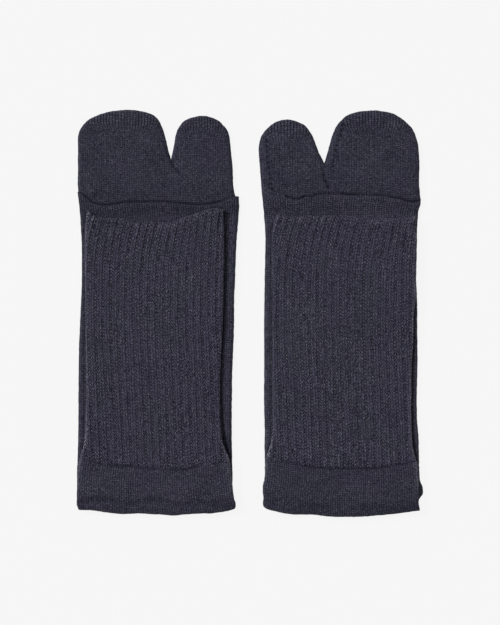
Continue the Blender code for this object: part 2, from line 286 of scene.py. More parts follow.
# ---- how strong some lines are, as (across, share): the toe seam's and the heel line's grooves with their painted shade, and the painted highlight on the cuff's lip
SEAM_DARK = {
    "left": (
        (-49, 0), (-46, 0.9), (-44, 1.4), (-36, 1.4), (-30, 1.1), (20, 1), (30, 1.1), (38, 0.9), (42, 0.5),
        (50, 0.4),
    ),
    "right": (
        (-49, 0), (-35, 0), (-33, 1.2), (-24, 1.1), (-20, 0.8), (-2, 0.8), (1, 1.3), (9, 1.2), (12, 0.8),
        (24, 0.9), (34, 1), (38, 1.3), (45, 1.3), (48.5, 0.6),
    ),
}
HEEL_DARK = {
    "left": (
        (-50, 0), (-40, 0.4), (-36, 0.9), (-31, 0.5), (-29, 1), (-11, 1), (-9, 0.6), (0, 0.6), (2, 0.1),
        (7, 0.1), (9, 0.9), (22, 1.1), (26, 0.6), (30, 0.1), (46, 0),
    ),
    "right": (
        (-48, 0), (-40, 0.2), (-36, 0.8), (-30, 0.7), (-20, 1), (12, 1), (26, 0.9), (36, 0.7), (43, 0.7),
        (47, 0.2),
    ),
}
LIP_LIGHT = {
    "left": ((-46, 1), (-37, 1), (-35, 0.1), (-14, 0.1), (-10, 1), (42, 1.3)),
    "right": ((-46, 1), (48, 1)),
}
# (along, left gain, left half width, right gain, right half width) of the painted highlights along the
# leg's edges
EDGE_LIGHT = {
    "left": (
        (30, 1.2, 0.9, 1.4, 0.9), (48, 1, 0.9, 1, 0.9), (60, 0.35, 2.2, 0.6, 1.2), (76, 0.3, 1.8, 0.5, 1.2),
        (92, 0.35, 0.9, 0.4, 1.2), (130, 0.4, 0.9, 0.2, 1.2), (142, 0.2, 1.4, 0.1, 1.2),
        (158, 0.2, 2, 0.1, 1.2), (168, 0.3, 3.2, 0.1, 1.2), (175, 0.3, 2.6, 0.1, 1.2),
        (181, 0.2, 0.9, 0.1, 1.2), (188, 0.2, 0.9, 0.1, 1.2),
    ),
    "right": (
        (30, 1.5, 1, 1.8, 0.9), (48, 1.3, 0.9, 1.6, 0.9), (58, 0.4, 0.8, 1.4, 0.9),
        (80, 0.25, 0.8, 1.6, 0.9), (140, 0.15, 0.8, 1.4, 0.9), (150, 0.1, 0.8, 0.4, 1.2),
        (190, 0, 0.8, 0.3, 1.2),
    ),
}
# (along, left gain, right gain) of the same painted highlights on the heel pocket's upper layer; a gain
# below zero gives painted shade
HEEL_LIGHT = {
    "left": ((8, -0.1, 0.3), (14, 0.1, 0.6), (20, 0.3, 1.4), (31, 1, 1.4)),
    "right": ((8, -0.2, 0), (14, 0, 0.4), (20, 0.3, 1.4), (31, 0.8, 1.8)),
}
# painted light and shade of the foot left and right of the leg, and of the band ahead of the cuff
FOOT_SHADES = {"left": (1.17, 1.16, 0.98), "right": (1.26, 1.55, 1.15)}
HEEL_SHADE = {"left": 1.22, "right": 1.13}


def curve(rows, column=1, round_off=False):
    """Smooth function through a table's points: never past them, or rounder with round_off."""
    x = np.array([row[0] for row in rows], float)
    y = np.array([row[column] for row in rows], float)
    step = np.diff(x)
    slope = np.diff(y) / step
    tangent = np.empty_like(y)
    tangent[0], tangent[-1] = slope[0], slope[-1]
    before, after = slope[:-1], slope[1:]
    if round_off:
        tangent[1:-1] = (before * step[1:] + after * step[:-1]) / (step[:-1] + step[1:])
    else:
        same_way = before * after > 0
        total = np.where(same_way, before + after, 1.0)
        tangent[1:-1] = np.where(same_way, 2 * before * after / total, 0.0)

    def at(q):
        q = np.clip(q, x[0], x[-1])
        k = np.clip(np.searchsorted(x, q, side="right") - 1, 0, len(step) - 1)
        t = (q - x[k]) / step[k]
        rise = t * t * (3 - 2 * t)
        bend = step[k] * t * (1 - t) * ((1 - t) * tangent[k] - t * tangent[k + 1])
        return y[k] * (1 - rise) + y[k + 1] * rise + bend

    return at


def lumps(side, number, size_across, size_along):
    """Smooth noise of about -1 to 1 over a sock's plane, with lumps of that size in mm."""
    table = np.random.default_rng(SEEDS[side] + number).uniform(-1, 1, (61, 61))

    def at(across, along):
        gx, gy = across / size_across + 500.5, along / size_along + 500.5
        ix, iy = np.floor(gx).astype(int), np.floor(gy).astype(int)
        fx, fy = gx - ix, gy - iy
        fx, fy = fx * fx * (3 - 2 * fx), fy * fy * (3 - 2 * fy)
        n = len(table)
        a, b = table[ix % n, iy % n], table[(ix + 1) % n, iy % n]
        c, d = table[ix % n, (iy + 1) % n], table[(ix + 1) % n, (iy + 1) % n]
        return (a * (1 - fx) + b * fx) * (1 - fy) + (c * (1 - fx) + d * fx) * fy

    return at


def rough_edges(side, table, rows, number, rough):
    """Left and right edge of a tube at its rows, pushed out a little unevenly."""
    fuzz = lumps(side, number, FUZZ, FUZZ)
    left = curve(table)(rows) - OUTSET - rough * fuzz(0.0, rows)
    return left, curve(table, 2)(rows) + OUTSET + rough * fuzz(40.0, rows)


def bell(distance, width):
    return np.exp(-((distance / width) ** 2))


def ramp(value, start, end):
    """0 before start, 1 after end, smooth between; end may be the smaller."""
    t = np.clip((value - start) / (end - start), 0, 1)
    return t * t * (3 - 2 * t)


def mix(a, b, share):
    return a + (b - a) * share


def place(side, across, along, up):
    """Points of one sock, in metres in the pair's frame."""
    across, along, up = np.broadcast_arrays(across, along, up)
    return np.stack(
        [(across + SOCK_CENTRE[side]) * MM, (along - HALF_LENGTH) * MM, up * MM], axis=-1
    )


def add_object(name, data):
    made = bpy.data.objects.new(name, data)
    scene.collection.objects.link(made)
    return made


def make_mesh(name, points, faces, knit, shade, material, furrow):
    """Object from points (n, 3), faces (lists of corners), UVs of every corner, and for each point
    a factor of painted light and shade on the cloth, and how deep the furrows between stitch columns are,
    in bump and in painted shade."""
    mesh = bpy.data.meshes.new(name)
    mesh.from_pydata(points.tolist(), [], [face.tolist() for face in faces])
    layer = mesh.uv_layers.new(name="knit")
    layer.data.foreach_set("uv", np.asarray(knit, np.float32).ravel())
    for word, value in (("shade", shade), ("furrow", furrow)):
        layer = mesh.attributes.new(word, "FLOAT", "POINT")
        value = np.zeros(len(points)) + np.ravel(value)
        layer.data.foreach_set("value", value.astype(np.float32))
    mesh.shade_smooth()
    mesh.materials.append(material)
    return add_object(name, mesh)


def grid_mesh(name, points, u, v, shade, material, furrow=0.6):
    """Tube from points (rows, columns, 3): columns close into a ring; u and v have one column more,
    or are the same for all rows or columns."""
    rows, cols = points.shape[:2]
    u, v = (np.broadcast_to(value, (rows, cols + 1)) for value in (u, v))
    r, c = np.meshgrid(np.arange(rows - 1), np.arange(cols), indexing="ij")
    row = np.stack([r, r, r + 1, r + 1], -1).reshape(-1, 4)
    col = np.stack([c, c + 1, c + 1, c], -1).reshape(-1, 4)
    faces = row * cols + col % cols
    knit = np.stack([u[row, col], v[row, col]], -1)
    return make_mesh(name, points.reshape(-1, 3), faces, knit, shade, material, furrow)


# ---- materials


class Number:
    """A number in a shader: arithmetic on it adds Math nodes to its tree."""

    def __init__(self, tree, socket):
        self.tree, self.socket = tree, socket

    def op(self, kind, *others):
        node = add_node(self.tree, "Math", dict(enumerate((self, *others))), operation=kind)
        return Number(self.tree, node.outputs[0])

    __add__ = partialmethod(op, "ADD")
    __sub__ = partialmethod(op, "SUBTRACT")
    __mul__ = partialmethod(op, "MULTIPLY")
    __truediv__ = partialmethod(op, "DIVIDE")

    def scaled(self, low, high, start=0.0, end=1.0, smooth=True):
        """low at start and below, high at end and above."""
        inputs = {"Value": self, "From Min": start, "From Max": end, "To Min": low, "To Max": high}
        kind = "SMOOTHSTEP" if smooth else "LINEAR"
        node = add_node(self.tree, "MapRange", inputs, interpolation_type=kind)
        return Number(self.tree, node.outputs["Result"])


def feed(tree, slots, inputs):
    """Give a node's inputs, by name or place: links for shader numbers and outputs, else values."""
    for name, value in inputs.items():
        value = getattr(value, "socket", value)
        if isinstance(value, bpy.types.NodeSocket):
            tree.links.new(value, slots[name])
        else:
            slots[name].default_value = value


def add_node(tree, kind, inputs, **settings):
    node = tree.nodes.new("ShaderNode" + kind)
    for word, value in settings.items():
        setattr(node, word, value)
    feed(tree, node.inputs, inputs)
    return node


def blank_material(name):
    material = bpy.data.materials.new(name)
    material.use_nodes = True
    return material, material.node_tree, material.node_tree.nodes["Principled BSDF"]


def vector(tree, *numbers):
    """A vector of two or three numbers, of the shader or plain ones."""
    return add_node(tree, "CombineXYZ", dict(enumerate(numbers))).outputs[0]


def noise(tree, spot, scale, detail=2.0, rough=0.55):
    inputs = {"Vector": spot, "Scale": scale, "Detail": detail, "Roughness": rough}
    return Number(tree, add_node(tree, "TexNoise", inputs).outputs["Fac"])


def attribute(tree, name):
    """A number that the mesh carries at its points."""
    return Number(tree, add_node(tree, "Attribute", {}, attribute_name=name).outputs["Fac"])


def chance(tree, u, v):
    """Random number of the cell that two whole numbers name."""
    node = add_node(tree, "TexWhiteNoise", {"Vector": vector(tree, u, v)}, noise_dimensions="2D")
    return Number(tree, node.outputs["Value"])


CLOTH = {
    "Specular IOR Level": 0.15, "Sheen Weight": 0.12, "Sheen Roughness": 0.45,
    "Sheen Tint": (0.55, 0.54, 0.75, 1.0),
}
PLAIN = {
    "colour": (0.0713, 0.0702, 0.1130), "wander_u": 0.24, "wander_v": 0.55, "slant": 0.6,
    "middle": 0.25, "rows": 0.75, "yarn": 0.28, "fibre": 1.12, "patch": 0.06, "bump": 0.9,
    "relief": 0.5, "dots": 0.35, "furrow": 1.1, "late": 0.5, "drawn": 0.8, "sharp": 1.4,
    "mid_tone": 0.5, "greyer": 0.2,
}
RIB = dict(
    PLAIN, colour=(0.0985, 0.0934, 0.1514), rows=1.0, dots=0.0, yarn=0.2, fibre=1.7, wander_u=0.26,
    wander_v=0.6, patch=0.04, sunk=1.27, slant=0.9, late=0.8, furrow=1.3, sharp=2.2, mid_tone=0.48,
)


def knit_material(name, look, ribbed):
    """Jersey stitches in knit coordinates (stitch columns, stitch rows), with yarn to yarn variation."""
    material, tree, shader = blank_material(name)
    uv = add_node(tree, "UVMap", {}, uv_map="knit").outputs["UV"]
    u, v = (Number(tree, part) for part in add_node(tree, "SeparateXYZ", {0: uv}).outputs[:2])
    spot = add_node(tree, "TexCoord", {}).outputs["Object"]
    shade, furrow = (attribute(tree, word) for word in ("shade", "furrow"))

    u_w = u + (noise(tree, spot, 420.0) - 0.5) * look["wander_u"]
    v_w = v + (noise(tree, spot, 310.0) - 0.5) * look["wander_v"]
    # x runs -0.5 to 0.5 over a stitch column and s from its middle to its sides;
    # a stitch is a V, so its two legs rise towards the sides
    x = u_w.op("FRACT") - 0.5
    s = (x * 2.0).op("ABSOLUTE")
    column = u_w.op("FLOOR")
    late = chance(tree, column, 7.0) * look["late"]
    slope, rows = s * look["slant"], look["rows"]
    if ribbed:
        # every third column shows its back: the V is upside down and half a row late
        back = (column / RIB_WALES).op("FRACT").op("GREATER_THAN", 0.5)
        slope = slope * (back * -2.0 + 1.0)
        late = late + back * 0.5
        rows = back * (0.25 * look["rows"]) + 0.75 * look["rows"]
    rise = v_w + late - slope
    leg = ((rise * (2 * math.pi)).op("COSINE") * -0.5 + 0.5).op("POWER", look["sharp"])
    side = s.scaled(0.0, 1.0, 0.45, 1.0)
    middle = s.scaled(1.0, 0.0, 0.0, 0.35)
    dot = (((v_w + late) * (2 * math.pi)).op("COSINE") * 0.5 + 0.5) * side

    height = (side * furrow) * -look["furrow"] + 1.0
    height = height * (middle * -look["middle"] + 1.0)
    height = height * ((leg - 1.0) * rows + 1.0)
    height = height * (dot * -look["dots"] + 1.0)

    yarn = chance(tree, column, rise.op("FLOOR"))
    drawn = add_node(tree, "VectorMath", {0: spot, 1: (1.0, look["drawn"], 1.0)}, operation="MULTIPLY")
    fibre = noise(tree, drawn.outputs[0], 1700.0, 2.0, 0.8)
    patch = noise(tree, spot, 75.0)
    # the colour follows the stitch relief: painted shade in the furrows and dips between stitches
    tone = height * 0.94 + 0.06
    tone = tone * yarn.scaled(1 - look["yarn"], 1 + look["yarn"], smooth=False)
    tone = tone * fibre.scaled(1 - look["fibre"], 1 + look["fibre"], 0.32, 0.68, smooth=False)
    tone = tone * patch.scaled(1 - look["patch"], 1 + look["patch"], 0.35, 0.65)
    if ribbed:
        within = (u / RIB_WALES).op("FRACT")
        raised = within.scaled(1.0, 0.0, 0.62, 0.72) + within.scaled(0.0, 1.0, 0.93, 1.0)
        tone = tone * (raised * (1 - look["sunk"]) + look["sunk"])
    # painted light and shade that the mesh carries at its points
    tone = tone * shade

    # the dye leans a little to violet in places and to grey in others
    leaning = noise(tree, spot, 45.0).scaled(0.0, 1.0, 0.35, 0.65)
    dye = add_node(tree, "Mix", {"Factor": leaning}, data_type="RGBA")
    red, green, blue = look["colour"]
    violet, grey = (socket for socket in dye.inputs if socket.type == "RGBA")
    violet.default_value = (red * 1.018, green * 0.985, blue * 1.01, 1.0)
    grey.default_value = (red * 0.982, green * 1.015, blue * 0.99, 1.0)
    dyed = next(socket for socket in dye.outputs if socket.type == "RGBA")
    # the blue rises less with the tone than the rest, so lighter places are greyer
    blue_tone = tone * (tone / look["mid_tone"]).op("POWER", -look["greyer"])
    tones = vector(tree, tone, tone, blue_tone)
    tint = add_node(tree, "VectorMath", {0: dyed, 1: tones}, operation="MULTIPLY")
    relief = {"Strength": look["bump"], "Distance": look["relief"] * MM, "Height": height + fibre * 0.3}
    feed(tree, shader.inputs, CLOTH)
    feed(tree, shader.inputs, {
        "Base Color": tint.outputs[0],
        "Normal": add_node(tree, "Bump", relief).outputs[0],
        "Roughness": yarn.scaled(0.86, 0.98),
    })
    return material


plain_knit = knit_material("pile_knit", PLAIN, ribbed=False)
rib_knit = knit_material("rib_knit", RIB, ribbed=True)


# ---- tubes


def rib_relief(u):
    """Height of the rib in mm at stitch column u: two raised columns, one sunken."""
    within = np.mod(u, RIB_WALES)
    hump = np.abs(np.sin(np.pi * within)) ** 0.8
    raised = 0.08 + 0.14 * hump
    groove = np.sin(np.pi * np.clip(within - 2, 0, 1)) ** 0.8
    return np.where(within < 2, raised, 0.08 - 0.22 * groove)


def ring_shares(top_steps, bottom_steps, edge_steps):
    """For the columns of a flattened tube, from the middle of its underside clockwise seen from the
    heel: which part each belongs to (0 under, 1 left edge, 2 top, 3 right edge) and its share of it."""
    half = bottom_steps // 2
    edge = np.arange(edge_steps) / edge_steps
    parts = [
        (0, 0.5 - 0.5 * np.arange(half) / half), (1, edge),
        (2, np.arange(top_steps) / top_steps), (3, edge),
        (0, 1.0 - 0.5 * np.arange(half) / half),
    ]
    kind = np.concatenate([np.full(len(share), k) for k, share in parts])
    return kind, np.concatenate([share for _, share in parts])


def tube(left, right, low, high, reach, kind, share):
    """across and up of a flattened tube; left and right have one row for each of its rows."""
    turn = np.radians(-90 + 180 * share)
    inward, rise = 1 - np.cos(turn), 0.5 + 0.5 * np.sin(turn)
    across = mix(left + reach, right - reach, share)
    across = np.where(kind == 1, left + reach * inward, across)
    across = np.where(kind == 3, right - reach * inward, across)
    height = np.where(kind == 1, mix(low, high, rise), high)
    height = np.where(kind == 3, mix(high, low, rise), height)
    return across, np.broadcast_to(np.where(kind == 0, low, height), across.shape)


def ring_columns(across, height, pitch):
    """Knit coordinate u at every column of a ring, plus one for its wrap."""
    dx = np.diff(np.append(across, across[0]))
    dz = np.diff(np.append(height, height[0]))
    return np.concatenate([[0.0], np.cumsum(np.hypot(dx, dz))]) / pitch


def ring_lift(kind, share):
    """How far each column of a flattened tube faces up: 1 on top, 0 from the side's middle down."""
    lift = np.where(kind == 2, 1.0, 0.0)
    lift = np.where((kind == 1) & (share > 0.5), np.sin(np.pi * (share - 0.5)), lift)
    return np.where((kind == 3) & (share < 0.5), np.cos(np.pi * share), lift)


def outline_run(points, spacing):
    """Points at even spacing along a smooth open line through some points."""
    p = np.array(points, float)
    chord = np.append(0, np.cumsum(np.hypot(*np.diff(p, axis=0).T) ** 0.5))
    table = np.column_stack([chord, p])
    t = np.linspace(0, chord[-1], 900)
    line = np.column_stack([curve(table, k, round_off=True)(t) for k in (1, 2)])
    length = np.append(0, np.cumsum(np.hypot(*np.diff(line, axis=0).T)))
    even = np.linspace(0, length[-1], max(2, round(length[-1] / spacing)) + 1)
    return np.column_stack([np.interp(even, length, values) for values in line.T])


def distance_to(points, line, closed=False):
    """Distance of each point (n, 2) from a line of points."""
    a = line if closed else line[:-1]
    b = np.roll(line, -1, axis=0) if closed else line[1:]
    best = np.full(len(points), 1e9)
    for start in range(0, len(points), 4000):
        q = points[start:start + 4000, None]
        d = b - a
        t = np.clip(((q - a) * d).sum(-1) / np.maximum((d * d).sum(-1), 1e-12), 0, 1)
        near = a + t[..., None] * d
        best[start:start + 4000] = np.sqrt(((q - near) ** 2).sum(-1)).min(1)
    return best


def relief(folds, across, along):
    """Height in mm and painted shade and light of soft folds, at points over a sock's plane."""
    rise, shade = np.zeros(across.shape), np.ones(across.shape)
    for path, height, width, tone in folds:
        line = outline_run(path, 1.0)
        low, high = line.min(0) - 3 * width, line.max(0) + 3 * width
        near = (across > low[0]) & (across < high[0]) & (along > low[1]) & (along < high[1])
        share = bell(distance_to(np.column_stack([across[near], along[near]]), line), width)
        rise[near] += height * share
        shade[near] *= 1 + (tone - 1) * share
    return rise, shade


def build_leg(side):
    """Ribbed leg: open tube on the foot, its cuff turned in."""
    kind, share = ring_shares(255, 56, 10)
    start_at, end_at = curve(HEEL_LINE[side]), curve(CUFF_LINE[side])
    near_cuff = CUFF_ROW - np.array([6, 5.5, 5, 4.5, 4, 3.5, 3, 2.5, 2, 1.6, 1.2, 0.8, 0.4, 0.12])
    rows = np.concatenate([[29.3, 29.9], np.arange(HEEL_SEAM, CUFF_ROW - 6.5, 0.95), near_cuff])[:, None]
    left, right = rough_edges(side, LEG_EDGES[side], rows, 1, LEG_ROUGH)
    right = right + 0.3 * lumps(side, 7, 9.0, 9.0)(0.0, rows)
    across, up = tube(left, right, LEG_BASE - 0.1, LEG_TOP - 0.3, 2.4, kind, share)
    along = rows + (start_at(across) - HEEL_SEAM) * ramp(rows, 60, HEEL_SEAM)
    along = along + (end_at(across) - CUFF_ROW) * ramp(rows, 150, CUFF_ROW)

    # the ribs lean to the right towards the cuff, more so on the left half
    around = np.hypot(np.diff(across, append=across[:, :1]), np.diff(up, append=up[:, :1]))
    run = np.cumsum(np.column_stack([np.zeros(len(rows)), around]), axis=1)
    middle = np.flatnonzero(kind == 2)[127]
    run = run - run[:, [middle]] + across[:, [middle]]
    part = np.clip(np.append(across, across[:, :1], 1) / 88 + 0.5, 0, 1)
    up_lean, left_lean, down_lean = RIB_LEAN[side]
    near_top = np.clip((rows - 128) / 58, 0, None)
    lean = (up_lean + left_lean * ramp(part, 1.0, 0.65)) * near_top ** 3
    lean = lean + down_lean * np.clip((120 - rows) / 80, 0, None)
    u = (run - lean + 0.35 * lumps(side, 2, 9.0, 30.0)(run, rows)) / RIB_WALE[side]
    v = (np.append(along, along[:, :1], 1) + RIB_TILT[side] * run) / RIB_COURSE

    lift = ring_lift(kind, share)
    outward = np.where(kind == 1, -1, 1) * (kind % 2) * np.abs(np.cos(np.pi * (share - 0.5)))
    from_cuff = end_at(across) - along
    from_heel = along - start_at(across)
    uneven = 1 + 0.6 * lumps(side, 3, 4.7, 28.0)(run[:, :-1], along)
    rib = rib_relief(u[:, :-1]) * uneven * (0.5 + 0.5 * bell(from_cuff, 20) + 0.25 * bell(from_heel, 30))
    across = across + np.where(lift > 0, outward * rib * 0.8, 0)
    up = up + lift * rib * (1 - 0.75 * bell(from_heel, 2.0))

    wave, fine = lumps(side, 4, 17.0, 24.0), lumps(side, 5, 4.5, 7.0)
    up = up + lift * (0.3 * wave(across, along) + 0.1 * fine(across, along))
    rise, shade = relief(LEG_FOLDS[side], across, along)
    # some of the lines between ribs get painted shade for a stretch, more so towards the cuff
    which = np.floor((u[:, :-1] - 0.5) / RIB_WALES)
    groove_shade = lumps(side, 6, 1.0, 20.0)(which * 7.0, along) + 0.35 * bell(from_cuff, 22)
    off_line = np.abs(np.mod(u[:, :-1] - 0.5, RIB_WALES) - 1.5)
    shade *= 1 - 0.5 * np.clip(groove_shade, 0, 1) * bell(off_line, 0.26)
    # the cuff is rounded off, with a low swelling behind its edge and a hollow behind that
    round_off = 1 - np.sqrt(1 - (1 - np.clip(from_cuff / 2.4, 0, 1)) ** 2)
    rise = rise - 1.4 * round_off + 0.35 * bell(from_cuff - 2.6, 1.6) - 0.25 * bell(from_cuff - 6.5, 2.5)
    line = curve(HEEL_DARK[side])(across)
    rise = rise - (0.3 + 0.6 * line) * bell(from_heel, 0.9) - np.where(rows < HEEL_SEAM, 0.9, 0.0)
    up = up + lift * rise
    # painted shade in the heel line's groove
    shade *= 1 - LINE_DARK * line * bell(from_heel, 1.0)
    # painted highlight on the cuff's lip, uneven along it
    lip = curve(LIP_LIGHT[side])(across) * (1 + 0.7 * lumps(side, 9, 6.0, 6.0)(across, along))
    shade *= 1 + 0.2 * lip * bell(from_cuff - 2.0, 2.4)
    # painted highlights along the leg's edges
    for sign, edge, gain, wide in ((-1, left, 1, 2), (1, right, 3, 4)):
        gain, wide = curve(EDGE_LIGHT[side], gain)(rows), curve(EDGE_LIGHT[side], wide)(rows)
        gain = gain * (1 + 0.6 * lumps(side, 8, 5.0, 5.0)(30.0 * sign, rows))
        edge_highlight = gain * bell(sign * (edge - across) - 0.4 * wide, wide)
        shade *= 1 + edge_highlight * (lift > 0)

    # the cuff's rim turns in to a short inner wall, given painted shade as it goes in
    shell, uv_u, uv_v, tones = [place(side, across, along, up)], [u], [v], [shade]
    rim_across, rim_along, rim_up = across[-1], along[-1], up[-1]
    middle_up = 0.5 * (LEG_BASE + LEG_TOP - 1.2)
    turned = np.where(kind == 1, share, 1 - share)
    inner_up = middle_up + 0.22 * np.where(kind % 2 == 1, np.sin(np.pi * (turned - 0.5)), kind - 1.0)
    inner_across = np.clip(rim_across, left[-1] + 1.25, right[-1] - 1.25)
    for part, ahead, close in (
        (0.30, 0.25, 0.30), (0.62, 0.42, 0.5), (0.95, 0.2, 0.8), (1.0, -1.5, 0.9), (1.0, -7.0, 1.0),
        (1.0, -14.0, 1.0),
    ):
        row = mix(rim_across, inner_across, part), rim_along + ahead, mix(rim_up, inner_up, close)
        shell.append(place(side, *row)[None])
        uv_u.append(u[-1:])
        uv_v.append(v[-1:] + ahead / RIB_COURSE)
        tones.append(shade[-1:] * mix(1.0, 0.7, close))
    joined = (np.concatenate(parts) for parts in (shell, uv_u, uv_v, tones))
    piece = grid_mesh(f"{side}_rib_leg", *joined, rib_knit)
    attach(piece, "root")
    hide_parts(f"{side}_leg")


def build_foot(side):
    """Plain tube of the foot, pressed flat under the leg."""
    kind, share = ring_shares(150, 60, 10)
    # crowd the columns of the top towards its sides, where it shows beside the leg
    spread = share - 0.5
    share = np.where(kind == 2, 0.5 + mix(spread, 0.5 * np.sin(np.pi * spread), 0.75), share)
    seam_at, cuff_at = curve(TOE_SEAM[side]), curve(CUFF_LINE[side])
    near_seam = SEAM_ROW - np.array([1.1, 0.8, 0.5, 0.25, 0.0])
    coarse, fine = np.arange(29.0, 176, 1.2), np.arange(176, SEAM_ROW - 1.2, 0.6)
    rows = np.concatenate([coarse, fine, near_seam])[:, None]
    left, right = rough_edges(side, FOOT_EDGES[side], rows, 11, ROUGH)
    low = 0.25 * ramp(rows, 32.2, 31)     # its end is tucked into the heel pocket
    across, up = tube(left, right, low, FOOT_TOP, 2.2, kind, share)
    along = rows + (seam_at(across) - SEAM_ROW) * ramp(rows, 172, SEAM_ROW)
    u = ring_columns(across[len(rows) // 2], up[len(rows) // 2], WALE)
    v = rows / COURSE

    lift = ring_lift(kind, share)
    beside_right = across - curve(LEG_EDGES[side], 2)(along)
    beside_left = curve(LEG_EDGES[side])(along) - across
    under_leg = ramp(along, 190, 186)
    low_down = bell(along - 46, 14)
    deep, deeper, wider, dark_low = {"left": (1.4, 0.8, 1.3, 0.38), "right": (1.2, 0.3, 0.4, 0.1)}[side]
    deep = deep + deeper * low_down
    wide = 0.5 + wider * low_down
    ditch = deep * bell(beside_right - 0.55 * wide, wide)
    up = up - lift * under_leg * ditch * ramp(beside_right, -2, -0.6)
    up = up - lift * under_leg * 0.4 * bell(beside_left - 0.7, 0.9)
    rise, shade = relief(FOOT_FOLDS[side], across, along)
    from_seam = seam_at(across) - along
    line = curve(SEAM_DARK[side])(across)
    rise = rise + 0.25 * lumps(side, 12, 13.0, 11.0)(across, along) - 0.7 * bell(from_seam - 8.5, 4.0)
    rise = rise - 1.25 * line * bell(from_seam, 0.75) + 0.2 * line * bell(from_seam - 2.0, 1.2)
    up = up + lift * rise

    in_band = ramp(along, 181, 188)
    # painted light and shade: the strips beside the leg lighter or darker by side, lighter just past the
    # leg's right edge, darker towards the heel on the right by dark_low, and the band darker just ahead of
    # the cuff
    left_strip, right_strip, band = FOOT_SHADES[side]
    strip = np.where(across > 0, right_strip, left_strip)
    strip = strip * (1 + 0.2 * bell(beside_right - 1.2, 0.8))
    strip = strip * (1 - dark_low * (across > 0) * bell(along - 42, 9))
    ahead_of_cuff = along - cuff_at(across)
    band = band * (1 - 0.12 * bell(ahead_of_cuff, 2.0))
    shade = shade * mix(strip, band, in_band)
    # painted shade in the seam's groove, with a painted highlight on the lip just behind it
    shade = shade * (1 - 0.5 * line * bell(from_seam, 0.6)) * (1 + 0.08 * line * bell(from_seam - 1.7, 0.9))
    # painted shade along the tube's outer edges, stronger on the left
    shade *= 1 - 0.3 * bell(across - left, 0.9) - 0.1 * bell(right - across, 0.9)
    shade = mix(1.1, shade, np.clip(3 * lift, 0, 1))
    furrow = mix(0.6, 0.9, in_band)
    tucked = np.clip(across[-1], left[-1] + 2.7, right[-1] - 2.7)
    under_seam = place(side, tucked, along[-1] + 0.4, np.clip(up[-1] - 0.9 * lift, 0.3, 3.2))
    points = np.concatenate([place(side, across, along, up), under_seam[None]])
    v = np.concatenate([v, v[-1:] + 0.5 / COURSE])
    shade, furrow = (np.concatenate([part, part[-1:]]) for part in (shade, furrow))
    piece = grid_mesh(f"{side}_instep", points, u, v, shade, plain_knit, furrow)
    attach(piece, "root")
    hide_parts(f"{side}_foot")


